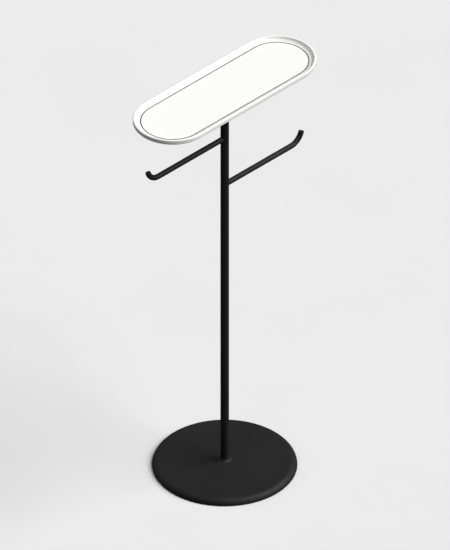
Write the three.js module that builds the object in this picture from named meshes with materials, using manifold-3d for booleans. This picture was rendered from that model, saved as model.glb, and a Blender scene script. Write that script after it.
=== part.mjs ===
// Valet stand: a heavy round base, one upright tube, two hanging arms with upturned tips
// at different heights on opposite sides, and a shallow oval tray on top.
//
// Millimetres, +Z up. The origin is the centre of the stand's footprint, on the floor.
// The pole stands on the Z axis. The tray and both arms lie along X: the upper arm
// points to -X and the lower arm to +X.

import * as THREE from 'three';
import { mergeVertices } from 'three/addons/utils/BufferGeometryUtils.js';
import Module from 'manifold-3d';

// Heights above the floor.
const TRAY_TOP = 1015;
const UPPER_ARM_HEIGHT = 880;
const LOWER_ARM_HEIGHT = 755;

// Base: a round casting with a quarter-round upper edge and a flared boss round the pole.
const BASE_RADIUS = 160;
const BASE_TOP = 15;
const BASE_EDGE_RADIUS = 14.2;
const BASE_CHAMFER = 0.3;
const BOSS_FLARE = 8;
const BOSS_LIP = 0.4;
const SOCKET_FLOOR = 13;
const BOLT_POCKET_RADIUS = 12;
const BOLT_POCKET_TOP = 9.5;

// Bolt, spring washer and flat washer that draw the base against the foot of the pole.
const BASE_BOLT = { acrossFlats: 13, headHeight: 5.3, length: 30 };
const SPRING_WASHER = { radius: 6.4, thickness: 2, slit: 1.2, slant: THREE.MathUtils.degToRad(25) };
const WASHER = { radius: 8, thickness: 1.6 };

// Non-slip pad: a ring let into the underside, standing just proud of it.
const PAD_THICKNESS = 2;
const PAD_PROUD = 0.5;
const PAD_OUTER_RADIUS = 148;
const PAD_INNER_RADIUS = 13;

// Pole and arm tubes.
const POLE_RADIUS = 9.5;
const POLE_WALL = 1.5;
const ARM_RADIUS = 6.35;
const ARM_WALL = 1.5;
const ARM_BEND_START = 206;
const ARM_BEND_RADIUS = 33.4;
const ARM_BEND_ANGLE = THREE.MathUtils.degToRad(75);
const TIP_CAP_THICKNESS = 1.5;

// What fills the tubes where they are joined. Places along an arm start at the pole's axis.
const FOOT_PLUG_LENGTH = 25;
const HEAD_PLUG_LENGTH = 22;
const SLUG_LENGTH = 24;
const ROOT_PLUG_START = 12;
const ROOT_PLUG_END = 30;
const STUD_START = -6;
const STUD_END = 26;

// Tray: a round-ended pan with a rounded rim, and a panel laid into its floor.
const TRAY_LENGTH = 500;
const TRAY_WIDTH = 175;
const TRAY_DEPTH = 12;
const RIM_WIDTH = 6;
const RIM_ROUNDING = 2;
const UNDERSIDE_ROUNDING = 4;
const COVE_WIDTH = 10;
const FLOOR_THICKNESS = 4;
const LINER_THICKNESS = 1;

// Flange that joins the tray to the pole.
const FLANGE_RADIUS = 55;
const FLANGE_THICKNESS = 4;
const FLANGE_EDGE = 0.6;
const HUB_RADIUS = 13.5;
const HUB_HEIGHT = 12;
const FLANGE_BOLT = { head: 6, length: 20, socket: 4 };
const TRAY_SCREW = { head: 3.9, length: 6.5, socket: 2.5 };
const TRAY_SCREW_CIRCLE = 42;
const TRAY_SCREW_COUNT = 4;

// Threads are left plain, at their nominal radius. The hole is the clearance hole's radius.
const M4 = { radius: 2, hole: 2.2 };
const M6 = { radius: 3, hole: 3.3 };
const M8 = { radius: 4, hole: 4.5 };

// Clearances: a slip fit between turned pieces, a gap beside a piece cut to its shape, and
// the wider gap all round the tray's liner.
const SLIP = 0.15;
const GAP = 0.3;
const LINER_GAP = 1.2;

// Facets round a bent tube, and round a small, a middling and a large turned piece.
const TUBE_FACETS = 14;
const COARSE = 20;
const MEDIUM = 32;
const FINE = 64;

// Facets along each half circle of the tray, along an arm's bend, and across each rounding.
const TRAY_END_FACETS = 24;
const ARM_BEND_STEPS = 6;
const BASE_EDGE_STEPS = 6;
const BOSS_FLARE_STEPS = 4;
const RIM_STEPS = 3;
const UNDERSIDE_STEPS = 4;
const COVE_STEPS = 5;

// How far a cutting tool runs on past the surface that it cuts, and how near two corners
// lie when they are one.
const OVERRUN = 1;
const SAME_POINT = 1e-3;

const BASE_UNDERSIDE = PAD_PROUD;
const WASHER_BOTTOM = BOLT_POCKET_TOP - WASHER.thickness;
const SPRING_WASHER_BOTTOM = WASHER_BOTTOM - SPRING_WASHER.thickness;
const TRAY_BOTTOM = TRAY_TOP - TRAY_DEPTH;
const POLE_TOP = TRAY_BOTTOM - FLANGE_THICKNESS;
const POLE_BORE = POLE_RADIUS - POLE_WALL;
const ARM_BORE = ARM_RADIUS - ARM_WALL;
const PAN_FLOOR = FLOOR_THICKNESS - LINER_THICKNESS;
const LINER_BED_INSET = RIM_WIDTH + COVE_WIDTH;

const FINISHES = {
  blackCoat: { color: 0x242424, roughness: 0.55, metalness: 0.1 },
  whiteLacquer: { color: 0xf6f6f4, roughness: 0.35, metalness: 0 },
  whiteLiner: { color: 0xf3f3f0, roughness: 0.7, metalness: 0 },
  rubber: { color: 0x151515, roughness: 0.95, metalness: 0 },
  zinc: { color: 0x9a9da1, roughness: 0.4, metalness: 1 },
  plainSteel: { color: 0x6f7173, roughness: 0.5, metalness: 1 },
};

const wasm = await Module();
wasm.setup();

// ---------------------------------------------------------------- geometry helpers

/** A closed three.js geometry as a solid that can be cut and joined. */
function toSolid(geometry) {
  const bare = geometry.clone().deleteAttribute('normal').deleteAttribute('uv');
  const merged = mergeVertices(bare, SAME_POINT);
  return new wasm.Manifold(new wasm.Mesh({
    numProp: 3,
    vertProperties: merged.attributes.position.array,
    triVerts: Uint32Array.from(merged.index.array),
  }));
}

/** The solid's surface as a three.js geometry. */
function toGeometry(solid) {
  const { vertProperties, triVerts } = solid.getMesh();
  const geometry = new THREE.BufferGeometry();
  geometry.setAttribute('position', new THREE.BufferAttribute(vertProperties, 3));
  geometry.setIndex(new THREE.BufferAttribute(triVerts, 1));
  geometry.computeVertexNormals();
  return geometry;
}

/** A blank with each of the tools taken out of it. */
function cut(blank, ...tools) {
  return toGeometry(tools.reduce((solid, tool) => solid.subtract(toSolid(tool)), toSolid(blank)));
}

/** Two or more overlapping shapes as one body. */
function join(first, ...others) {
  return toGeometry(others.reduce((solid, other) => solid.add(toSolid(other)), toSolid(first)));
}

/** A piece turned about Z. The profile is [radius, height] points, with the outside going up. */
function turned(profile, facets = MEDIUM) {
  const points = profile.map(([radius, height]) => new THREE.Vector2(radius, height));
  return new THREE.LatheGeometry(points, facets).rotateX(Math.PI / 2);
}

/** [radius, height] points along an arc in a turned profile, from one angle to another. */
function arc(radius, height, size, from, to, steps) {
  return Array.from({ length: steps + 1 }, (_, i) => {
    const angle = from + ((to - from) * i) / steps;
    return [radius + size * Math.cos(angle), height + size * Math.sin(angle)];
  });
}

/** A plain round bar on the Z axis between two heights. */
function bar(radius, bottom, top, facets = COARSE) {
  const height = top - bottom;
  return new THREE.CylinderGeometry(radius, radius, height, facets)
    .rotateX(Math.PI / 2)
    .translate(0, 0, bottom + height / 2);
}

/** A ring or sleeve on the Z axis between two heights. */
function sleeve(inner, outer, bottom, top, facets = MEDIUM) {
  return turned([[inner, bottom], [outer, bottom], [outer, top], [inner, top], [inner, bottom]], facets);
}

/** A six-sided bar on the Z axis, measured across its flats. */
function hexBar(acrossFlats, bottom, top) {
  const sides = 6;
  return bar(acrossFlats / (2 * Math.cos(Math.PI / sides)), bottom, top, sides);
}

/** The same shape laid along X, with its own Z turned to +X. */
function alongX(geometry) {
  return geometry.rotateY(Math.PI / 2);
}

/** The tray's outline moved inwards: two half circles joined by straight sides. */
function trayOutline(inset) {
  const radius = TRAY_WIDTH / 2 - inset;
  const centre = (TRAY_LENGTH - TRAY_WIDTH) / 2;
  const outline = new THREE.Shape();
  outline.absarc(centre, 0, radius, -Math.PI / 2, Math.PI / 2);
  outline.absarc(-centre, 0, radius, Math.PI / 2, (3 * Math.PI) / 2);
  return outline;
}

/** An outline raised between two heights, swelling out between its two faces by elliptical bevels. */
function raised(outline, bottom, top, { swell = 0, rise = 0, steps = 1 } = {}) {
  return new THREE.ExtrudeGeometry(outline, {
    depth: top - bottom - 2 * rise,
    bevelEnabled: swell > 0,
    bevelSize: swell,
    bevelThickness: rise,
    bevelSegments: steps,
    curveSegments: TRAY_END_FACETS / 2,
  }).translate(0, 0, bottom + rise);
}

/** One named piece in its own finish. */
function piece(name, geometry, finish) {
  const mesh = new THREE.Mesh(geometry, new THREE.MeshStandardMaterial(FINISHES[finish]));
  mesh.name = name;
  return mesh;
}

/** A group that holds pieces or other groups. */
function group(...members) {
  return new THREE.Group().add(...members);
}

// ---------------------------------------------------------------- base

/** Round casting: quarter-round edge, flared boss with the pole's socket, pad recess and bolt pocket. */
function base() {
  const socketRadius = POLE_RADIUS + SLIP;
  const lipRadius = socketRadius + BOSS_LIP;
  const bossTop = BASE_TOP + BOSS_FLARE;
  const edgeCentre = BASE_RADIUS - BASE_EDGE_RADIUS;
  const recessTop = BASE_UNDERSIDE + PAD_THICKNESS - PAD_PROUD;
  const recessRadius = PAD_OUTER_RADIUS + GAP;
  return turned([
    [BOLT_POCKET_RADIUS, recessTop],
    [recessRadius, recessTop],
    [recessRadius, BASE_UNDERSIDE],
    [BASE_RADIUS - BASE_CHAMFER, BASE_UNDERSIDE],
    ...arc(edgeCentre, BASE_TOP - BASE_EDGE_RADIUS, BASE_EDGE_RADIUS, 0, Math.PI / 2, BASE_EDGE_STEPS),
    ...arc(lipRadius + BOSS_FLARE, bossTop, BOSS_FLARE, -Math.PI / 2, -Math.PI, BOSS_FLARE_STEPS),
    [socketRadius, bossTop],
    [socketRadius, SOCKET_FLOOR],
    [M8.hole, SOCKET_FLOOR],
    [M8.hole, BOLT_POCKET_TOP],
    [BOLT_POCKET_RADIUS, BOLT_POCKET_TOP],
    [BOLT_POCKET_RADIUS, recessTop],
  ], FINE);
}

function basePad() {
  return sleeve(PAD_INNER_RADIUS, PAD_OUTER_RADIUS, 0, PAD_THICKNESS, FINE);
}

function baseWasher() {
  return sleeve(M8.radius + SLIP, WASHER.radius, WASHER_BOTTOM, BOLT_POCKET_TOP);
}

/** Spring washer: a ring cut through on one side, on the slant. */
function baseSpringWasher() {
  const { radius, thickness, slit, slant } = SPRING_WASHER;
  const hole = M8.radius + SLIP;
  const ring = sleeve(hole, radius, SPRING_WASHER_BOTTOM, WASHER_BOTTOM);
  const saw = new THREE.BoxGeometry(slit, 2 * (radius - hole), 4 * thickness)
    .rotateY(slant)
    .translate(0, (radius + hole) / 2, SPRING_WASHER_BOTTOM + thickness / 2);
  return cut(ring, saw);
}

/** Hexagon bolt, put in from below. */
function baseBolt() {
  const { acrossFlats, headHeight, length } = BASE_BOLT;
  const headTop = SPRING_WASHER_BOTTOM;
  const head = hexBar(acrossFlats, headTop - headHeight, headTop);
  const shank = bar(M8.radius, headTop - headHeight / 2, headTop + length);
  return join(head, shank);
}

function baseGroup() {
  return group(
    piece('base', base(), 'blackCoat'),
    piece('base_pad', basePad(), 'rubber'),
    piece('base_washer', baseWasher(), 'zinc'),
    piece('base_spring_washer', baseSpringWasher(), 'zinc'),
    piece('base_bolt', baseBolt(), 'zinc'),
  );
}

// ---------------------------------------------------------------- pole

/** Upright tube, with one hole through its wall behind each arm. */
function poleTube() {
  const tube = sleeve(POLE_BORE, POLE_RADIUS, SOCKET_FLOOR, POLE_TOP);
  const drill = (direction, height) => alongX(bar(M6.hole, 0, 2 * POLE_RADIUS))
    .scale(direction, direction, 1)
    .translate(0, 0, height);
  return cut(tube, drill(-1, UPPER_ARM_HEIGHT), drill(1, LOWER_ARM_HEIGHT));
}

/** Threaded plug that fills a length of the pole's bore. */
function polePlug(thread, bottom, top) {
  return sleeve(thread.radius + SLIP, POLE_BORE - SLIP, bottom, top);
}

/** Solid slug inside the pole, tapped crosswise for an arm's stud. */
function armSlug(height) {
  const slug = bar(POLE_BORE - SLIP, height - SLUG_LENGTH / 2, height + SLUG_LENGTH / 2, MEDIUM);
  const thread = alongX(bar(M6.radius + SLIP, -POLE_RADIUS, POLE_RADIUS)).translate(0, 0, height);
  return cut(slug, thread);
}

function poleGroup() {
  const footPlug = polePlug(M8, SOCKET_FLOOR + GAP, SOCKET_FLOOR + FOOT_PLUG_LENGTH);
  const headPlug = polePlug(M6, POLE_TOP - HEAD_PLUG_LENGTH, POLE_TOP - GAP);
  return group(
    piece('pole_tube', poleTube(), 'blackCoat'),
    piece('pole_foot_plug', footPlug, 'plainSteel'),
    piece('pole_head_plug', headPlug, 'plainSteel'),
    piece('upper_arm_slug', armSlug(UPPER_ARM_HEIGHT), 'plainSteel'),
    piece('lower_arm_slug', armSlug(LOWER_ARM_HEIGHT), 'plainSteel'),
  );
}

// ---------------------------------------------------------------- arms, along +X from the pole's axis

/** An arm's centreline: straight out of the pole, then an arc that turns up. */
class ArmPath extends THREE.Curve {
  constructor() {
    super();
    this.arcLength = ARM_BEND_RADIUS * ARM_BEND_ANGLE;
    const step = this.arcLength / ARM_BEND_STEPS;
    this.straightSteps = Math.floor(ARM_BEND_START / step);
    this.start = ARM_BEND_START - this.straightSteps * step;
    this.steps = this.straightSteps + ARM_BEND_STEPS;
  }

  getPoint(t, target = new THREE.Vector3()) {
    const straight = ARM_BEND_START - this.start;
    const along = t * (straight + this.arcLength);
    if (along <= straight) return target.set(this.start + along, 0, 0);
    const angle = (along - straight) / ARM_BEND_RADIUS;
    return target.set(
      ARM_BEND_START + ARM_BEND_RADIUS * Math.sin(angle),
      0,
      ARM_BEND_RADIUS * (1 - Math.cos(angle)),
    );
  }
}

/** Bent tube, its inner end coped to sit against the round pole. */
function armTube() {
  const path = new ArmPath();
  const section = new THREE.Shape().absarc(0, 0, ARM_RADIUS, 0, 2 * Math.PI);
  section.holes.push(new THREE.Path().absarc(0, 0, ARM_BORE, 0, 2 * Math.PI, true));
  const tube = new THREE.ExtrudeGeometry(section, {
    extrudePath: path,
    steps: path.steps,
    curveSegments: TUBE_FACETS / 2,
    bevelEnabled: false,
  });
  return cut(tube, bar(POLE_RADIUS + SLIP, -2 * ARM_RADIUS, 2 * ARM_RADIUS, MEDIUM));
}

/** Threaded plug in the arm's inner end. */
function armRootPlug() {
  return alongX(sleeve(M6.radius + SLIP, ARM_BORE - GAP, ROOT_PLUG_START, ROOT_PLUG_END, COARSE));
}

/** Headless stud that draws the arm against the pole. */
function armStud() {
  return alongX(bar(M6.radius, STUD_START, STUD_END));
}

/** Flat cap let into the outer end of the arm tube, square to the tube there. */
function armTipCap() {
  const end = new ArmPath().getPoint(1);
  return bar(ARM_BORE - GAP, -TIP_CAP_THICKNESS, 0)
    .rotateY(Math.PI / 2 - ARM_BEND_ANGLE)
    .translate(end.x, end.y, end.z);
}

function armGroup(name, height, turn) {
  const arm = group(
    piece(`${name}_tube`, armTube(), 'blackCoat'),
    piece(`${name}_root_plug`, armRootPlug(), 'plainSteel'),
    piece(`${name}_stud`, armStud(), 'zinc'),
    piece(`${name}_tip_cap`, armTipCap(), 'blackCoat'),
  );
  arm.position.z = height;
  arm.rotation.z = turn;
  return arm;
}

// ---------------------------------------------------------------- tray, from the height of its underside

/** A countersunk screw on the Z axis, with a hexagon socket in its head. */
function countersunkScrew(thread, { head, length, socket }, top) {
  const headHeight = head - thread.radius;
  const screw = turned([
    [0, top - length],
    [thread.radius, top - length],
    [thread.radius, top - headHeight],
    [head, top],
    [0, top],
  ], COARSE);
  return cut(screw, hexBar(socket, top - socket / 2, top + OVERRUN));
}

/** The hole and countersink that such a screw sits in, its cone running on above the surface. */
function countersunkHole(thread, { head }, depth, top) {
  const clearance = head + SLIP;
  return turned([
    [0, top - depth],
    [thread.hole, top - depth],
    [thread.hole, top - (clearance - thread.hole)],
    [clearance + OVERRUN, top + OVERRUN],
    [0, top + OVERRUN],
  ], COARSE);
}

/** The four screw places, between the tray's long axis and its short one. */
function trayScrewPlaces() {
  return Array.from({ length: TRAY_SCREW_COUNT }, (_, i) => {
    const angle = ((i + 0.5) * 2 * Math.PI) / TRAY_SCREW_COUNT;
    return new THREE.Vector2(Math.cos(angle), Math.sin(angle)).multiplyScalar(TRAY_SCREW_CIRCLE);
  });
}

/** Pan: a dish with a rounded underside and a cove that rises from its floor, under a rounded rim. */
function trayPan() {
  const rimShape = trayOutline(RIM_ROUNDING);
  rimShape.holes.push(trayOutline(RIM_WIDTH - RIM_ROUNDING));
  const rim = raised(rimShape, UNDERSIDE_ROUNDING, TRAY_DEPTH, {
    swell: RIM_ROUNDING,
    rise: RIM_ROUNDING,
    steps: RIM_STEPS,
  });
  const coveTop = TRAY_DEPTH - RIM_ROUNDING;
  const coveRise = coveTop - FLOOR_THICKNESS;
  const dish = raised(trayOutline(UNDERSIDE_ROUNDING), 0, coveTop + UNDERSIDE_ROUNDING, {
    swell: UNDERSIDE_ROUNDING,
    rise: UNDERSIDE_ROUNDING,
    steps: UNDERSIDE_STEPS,
  });
  const aboveCove = raised(trayOutline(-OVERRUN), coveTop, coveTop + 2 * UNDERSIDE_ROUNDING);
  const hollow = raised(trayOutline(LINER_BED_INSET), FLOOR_THICKNESS, coveTop + 2 * coveRise, {
    swell: COVE_WIDTH,
    rise: coveRise,
    steps: COVE_STEPS,
  });
  const linerBed = raised(trayOutline(LINER_BED_INSET), PAN_FLOOR, coveTop);
  const holes = trayScrewPlaces().map(({ x, y }) => (
    countersunkHole(M4, TRAY_SCREW, 2 * FLOOR_THICKNESS, PAN_FLOOR).translate(x, y, 0)
  ));
  return join(rim, cut(dish, aboveCove, hollow, linerBed, ...holes));
}

/** Panel that lies in the pan's floor and covers the screws. */
function trayLiner() {
  return raised(trayOutline(LINER_BED_INSET + LINER_GAP), PAN_FLOOR, FLOOR_THICKNESS);
}

/** Round plate under the tray, with a socket that drops over the pole's top. */
function trayFlange() {
  const socketRadius = POLE_RADIUS + SLIP;
  const hubBottom = -FLANGE_THICKNESS - HUB_HEIGHT;
  const plate = turned([
    [socketRadius, hubBottom],
    [HUB_RADIUS - FLANGE_EDGE, hubBottom],
    [HUB_RADIUS, hubBottom + FLANGE_EDGE],
    [HUB_RADIUS, -FLANGE_THICKNESS],
    [FLANGE_RADIUS - FLANGE_EDGE, -FLANGE_THICKNESS],
    [FLANGE_RADIUS, -FLANGE_THICKNESS + FLANGE_EDGE],
    [FLANGE_RADIUS, -FLANGE_EDGE],
    [FLANGE_RADIUS - FLANGE_EDGE, 0],
    [0, 0],
    [0, -FLANGE_THICKNESS],
    [socketRadius, -FLANGE_THICKNESS],
    [socketRadius, hubBottom],
  ]);
  const threads = trayScrewPlaces().map(({ x, y }) => (
    bar(M4.radius + SLIP, -2 * FLANGE_THICKNESS, OVERRUN).translate(x, y, 0)
  ));
  return cut(plate, countersunkHole(M6, FLANGE_BOLT, 2 * FLANGE_THICKNESS, 0), ...threads);
}

function trayGroup() {
  const screws = trayScrewPlaces().map(({ x, y }, i) => {
    const screw = countersunkScrew(M4, TRAY_SCREW, PAN_FLOOR).translate(x, y, 0);
    return piece(`tray_screw_${i + 1}`, screw, 'zinc');
  });
  const tray = group(
    piece('tray_flange', trayFlange(), 'blackCoat'),
    piece('flange_bolt', countersunkScrew(M6, FLANGE_BOLT, 0), 'zinc'),
    piece('tray_pan', trayPan(), 'whiteLacquer'),
    piece('tray_liner', trayLiner(), 'whiteLiner'),
    ...screws,
  );
  tray.position.z = TRAY_BOTTOM;
  return tray;
}

// ---------------------------------------------------------------- the stand

const valetStand = group(
  baseGroup(),
  poleGroup(),
  armGroup('upper_arm', UPPER_ARM_HEIGHT, Math.PI),
  armGroup('lower_arm', LOWER_ARM_HEIGHT, 0),
  trayGroup(),
);
valetStand.name = 'valet_stand';

export default valetStand;
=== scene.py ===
import bmesh
import bpy
import numpy as np
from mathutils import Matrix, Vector


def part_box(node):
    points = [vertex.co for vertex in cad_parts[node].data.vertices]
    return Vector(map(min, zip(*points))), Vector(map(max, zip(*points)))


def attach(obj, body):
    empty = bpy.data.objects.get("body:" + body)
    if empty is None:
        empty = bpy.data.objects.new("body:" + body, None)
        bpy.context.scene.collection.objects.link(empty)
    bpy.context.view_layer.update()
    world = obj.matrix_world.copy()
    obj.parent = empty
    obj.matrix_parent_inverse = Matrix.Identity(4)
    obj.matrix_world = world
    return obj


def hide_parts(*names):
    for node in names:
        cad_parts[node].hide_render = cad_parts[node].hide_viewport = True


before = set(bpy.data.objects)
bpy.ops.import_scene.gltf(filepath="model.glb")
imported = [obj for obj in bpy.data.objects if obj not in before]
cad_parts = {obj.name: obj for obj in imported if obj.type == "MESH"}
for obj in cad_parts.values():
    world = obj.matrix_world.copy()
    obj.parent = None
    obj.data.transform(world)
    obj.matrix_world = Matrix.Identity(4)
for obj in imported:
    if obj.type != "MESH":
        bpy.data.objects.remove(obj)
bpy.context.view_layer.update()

# ----------------------------------------------------------------------------------------
# Base. A grey-iron disc turned all over: quarter-round edge, a boss that flares up round the
# pole, and underneath a pocket for the bolt and a seat for the non-slip ring. It is shot
# blasted and powder coated satin black. Metres throughout.

WORN_FILLET = 0.0012


def filleted(corners, closed=True, steps=8, guard=0.0008):
    """Rows of (radius, height, edge) along a profile whose corners are (radius, height, fillet).

    A fillet f in a corner of half angle h touches both sides f / tan(h) from the corner, and
    its centre lies f / sin(h) along the bisector. Its points turn from one tangent point to
    the other by a spherical blend. Each fillet has a guard point just before and after it.
    The edge value is above 0 on an outside corner, below 0 in an inside one, 0 elsewhere,
    and weaker on a fillet above the worn one. A closed profile goes round its material anticlockwise.
    """
    corner, fillet = np.array(corners, float)[:, :2], np.array(corners, float)[:, 2]
    back, ahead = np.roll(corner, 1, 0) - corner, np.roll(corner, -1, 0) - corner
    back_length, ahead_length = np.linalg.norm(back, axis=1), np.linalg.norm(ahead, axis=1)
    back, ahead = back / back_length[:, None], ahead / ahead_length[:, None]
    half = np.arccos(np.clip((back * ahead).sum(1), -1, 1)) / 2
    touch = np.where(fillet > 0, fillet / np.tan(np.clip(half, 1e-3, np.pi / 2)), 0)
    room_back = (back_length - touch - np.roll(touch, 1)) / 2
    room_ahead = (ahead_length - touch - np.roll(touch, -1)) / 2
    guarded = (fillet > 0) * 1.0
    before = touch + np.clip(room_back, 0, guard) * guarded
    after = touch + np.clip(room_ahead, 0, guard) * guarded
    bisector = back + ahead
    bisector /= np.maximum(np.linalg.norm(bisector, axis=1), 1e-9)[:, None]
    centre = corner + bisector * (fillet / np.sin(np.clip(half, 1e-3, None)))[:, None]
    start, end = corner + back * touch[:, None], corner + ahead * touch[:, None]
    turn = np.maximum(np.pi - 2 * half, 1e-6)[:, None, None]
    share = np.linspace(0, 1, steps + 1)[None, :, None]
    arcs = centre[:, None] + (
        np.sin((1 - share) * turn) * (start - centre)[:, None]
        + np.sin(share * turn) * (end - centre)[:, None]
    ) / np.sin(turn)
    rounded = (fillet > 0)[:, None, None]
    arcs = np.where(rounded, arcs, corner[:, None])
    guards = (corner + back * before[:, None], corner + ahead * after[:, None])
    points = np.concatenate([guards[0][:, None], arcs, guards[1][:, None]], axis=1)
    bend = np.sign(ahead[:, 0] * back[:, 1] - ahead[:, 1] * back[:, 0])
    strength = bend * np.minimum(1, WORN_FILLET / np.maximum(fillet, 1e-6)) * (fillet > 0)
    edge = np.zeros(points.shape[:2])
    edge[:, 1:-1] = strength[:, None]
    rows = np.column_stack([points.reshape(-1, 2), edge.ravel()])
    step = np.linalg.norm(np.diff(rows[:, :2], axis=0), axis=1)
    rows = rows[np.concatenate([[True], step > 1e-8])]
    if closed and np.linalg.norm(rows[0, :2] - rows[-1, :2]) < 1e-8:
        rows = rows[:-1]
    return rows


def turned(profile, columns=96):
    """A profile turned about Z: the point at angle a is (r cos a, r sin a, z)."""
    angle = np.arange(columns) * 2 * np.pi / columns
    radius, height = profile[:, :1], profile[:, 1:2]
    return np.stack(
        [radius * np.cos(angle), radius * np.sin(angle), height + 0 * angle], axis=-1
    )


SAME_PLACE = 1e-6
SHARP_ABOVE = 32


def welded(mesh, distance=SAME_PLACE):
    """The mesh with its points merged where they lie closer than a distance."""
    working = bmesh.new()
    working.from_mesh(mesh)
    bmesh.ops.remove_doubles(working, verts=working.verts, dist=distance)
    working.to_mesh(mesh)
    working.free()
    return mesh


def surface(name, grid, profile, closed=True, sharp_above=SHARP_ABOVE):
    """A piece from a grid of points: rows along the profile, columns round the piece.

    Each row of quads joins a row of points to the next, and each column joins round to the
    first. Points that meet on the axis are merged, which closes the ends. Two values go with
    every point: edge, from the profile, and along, the distance travelled along the profile.
    """
    rows, columns = grid.shape[:2]
    index = np.arange(rows * columns).reshape(rows, columns)
    upper = np.roll(index, -1, axis=0)
    if not closed:
        index, upper = index[:-1], upper[:-1]
    quads = np.stack([index, np.roll(index, -1, 1), np.roll(upper, -1, 1), upper], axis=-1)
    quads = quads.reshape(-1, 4)
    mesh = bpy.data.meshes.new(name)
    mesh.vertices.add(rows * columns)
    mesh.vertices.foreach_set("co", grid.astype(np.float32).ravel())
    mesh.loops.add(quads.size)
    mesh.loops.foreach_set("vertex_index", quads.astype(np.int32).ravel())
    mesh.polygons.add(len(quads))
    mesh.polygons.foreach_set("loop_start", np.arange(0, quads.size, 4, dtype=np.int32))
    mesh.update(calc_edges=True)
    travelled = np.linalg.norm(np.diff(profile[:, :2], axis=0), axis=1)
    fields = {"edge": profile[:, 2], "along": np.concatenate([[0], np.cumsum(travelled)])}
    for field, values in fields.items():
        attribute = mesh.attributes.new(field, "FLOAT", "POINT")
        attribute.data.foreach_set("value", np.repeat(values, columns).astype(np.float32))
    welded(mesh).shade_smooth()
    mesh.set_sharp_from_angle(angle=np.radians(sharp_above))
    piece = bpy.data.objects.new(name, mesh)
    bpy.context.scene.collection.objects.link(piece)
    return piece


def finish_material(name):
    """An empty node material, its tree and its Principled shader."""
    material = bpy.data.materials.new(name)
    material.use_nodes = True
    return material, material.node_tree, material.node_tree.nodes["Principled BSDF"]


def node(tree, kind, inputs, **settings):
    """One shader node. Each input is a plain value, or the output socket that feeds it."""
    made = tree.nodes.new(kind)
    for key, value in settings.items():
        setattr(made, key, value)
    for key, value in inputs.items():
        if isinstance(value, bpy.types.NodeSocket):
            tree.links.new(value, made.inputs[key])
        else:
            made.inputs[key].default_value = value
    return made


def noise(tree, place, scale, detail=2.0, stretch=(1, 1, 1)):
    """Noise between 0 and 1 on the piece's own coordinates, at a number of lumps per metre."""
    turned_place = node(tree, "ShaderNodeMapping", {"Vector": place, "Scale": stretch})
    inputs = {"Vector": turned_place.outputs["Vector"], "Scale": scale, "Detail": detail}
    return node(tree, "ShaderNodeTexNoise", inputs).outputs["Fac"]


def ranged(tree, value, start, end, to_start=0.0, to_end=1.0):
    """The value carried from one range to another, and held at its ends."""
    inputs = {
        "Value": value,
        "From Min": start,
        "From Max": end,
        "To Min": to_start,
        "To Max": to_end,
    }
    return node(tree, "ShaderNodeMapRange", inputs).outputs["Result"]


def combined(tree, operation, first, second):
    """Two values put together by an arithmetic operation."""
    return node(tree, "ShaderNodeMath", {0: first, 1: second}, operation=operation).outputs[0]


def blended(tree, amount, first, second):
    """A colour that goes from the first to the second as the amount goes from 0 to 1."""
    inputs = {0: amount, 6: first, 7: second}
    return node(tree, "ShaderNodeMix", inputs, data_type="RGBA").outputs[2]


def raised_by(tree, height, distance, normal=None):
    """The surface's normal over a relief of that height in metres."""
    inputs = {"Height": height, "Distance": distance, "Strength": 1.0}
    if normal is not None:
        inputs["Normal"] = normal
    return node(tree, "ShaderNodeBump", inputs).outputs["Normal"]


def powder_coat():
    """Satin black powder coat: tone drifting over a hand's breadth, orange peel about 1.5 mm
    across over a fine grit, rubbed paler on outside edges, and dusty in inside corners."""
    material, tree, shader = finish_material("black_powder_coat")
    place = node(tree, "ShaderNodeTexCoord", {}).outputs["Object"]
    edge = node(tree, "ShaderNodeAttribute", {}, attribute_name="edge").outputs["Fac"]
    tone = ranged(tree, noise(tree, place, 7, 3), 0.3, 0.7)
    body = blended(tree, tone, (0.0065, 0.0065, 0.0069, 1), (0.0105, 0.0105, 0.0109, 1))
    patches = ranged(tree, noise(tree, place, 160, 3), 0.45, 0.75)
    rubbed = combined(tree, "MULTIPLY", ranged(tree, edge, 0.15, 1), patches)
    worn = blended(tree, rubbed, body, (0.055, 0.055, 0.056, 1))
    corner = ranged(tree, edge, -0.1, -1)
    corner_tint = combined(tree, "MULTIPLY", corner, ranged(tree, noise(tree, place, 90, 4), 0.3, 0.8, 0, 0.5))
    tree.links.new(blended(tree, corner_tint, worn, (0.05, 0.047, 0.042, 1)), shader.inputs["Base Color"])
    smears = ranged(tree, noise(tree, place, 22, 4, (1, 1, 0.35)), 0.3, 0.7, 0.58, 0.67)
    matte = combined(tree, "ADD", smears, combined(tree, "MULTIPLY", corner_tint, 0.3))
    polished = combined(tree, "SUBTRACT", matte, combined(tree, "MULTIPLY", rubbed, 0.1))
    tree.links.new(polished, shader.inputs["Roughness"])
    peel = raised_by(tree, noise(tree, place, 650, 1), 0.0001)
    grit = raised_by(tree, noise(tree, place, 3200, 1), 0.00002, peel)
    tree.links.new(grit, shader.inputs["Normal"])
    shader.inputs["Specular IOR Level"].default_value = 0.3
    return material


COAT = powder_coat()

base_low, base_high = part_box("base")
pad_low, pad_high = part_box("base_pad")
washer_low, washer_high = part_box("base_washer")
BASE_TOP = 0.015
EDGE_ROUND = 0.0142
FLARE = 0.008
SOCKET_RADIUS = 0.00965
LIP = 0.0004
SOCKET_FLOOR = 0.013
BOLT_HOLE = 0.0045
POCKET_RADIUS = 0.012
PAD_SEAT = pad_high.z
PAD_SEAT_RADIUS = pad_high.x + 0.0003
SMALL_BREAK = 0.0003
TINY_BREAK = 0.00015

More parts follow.
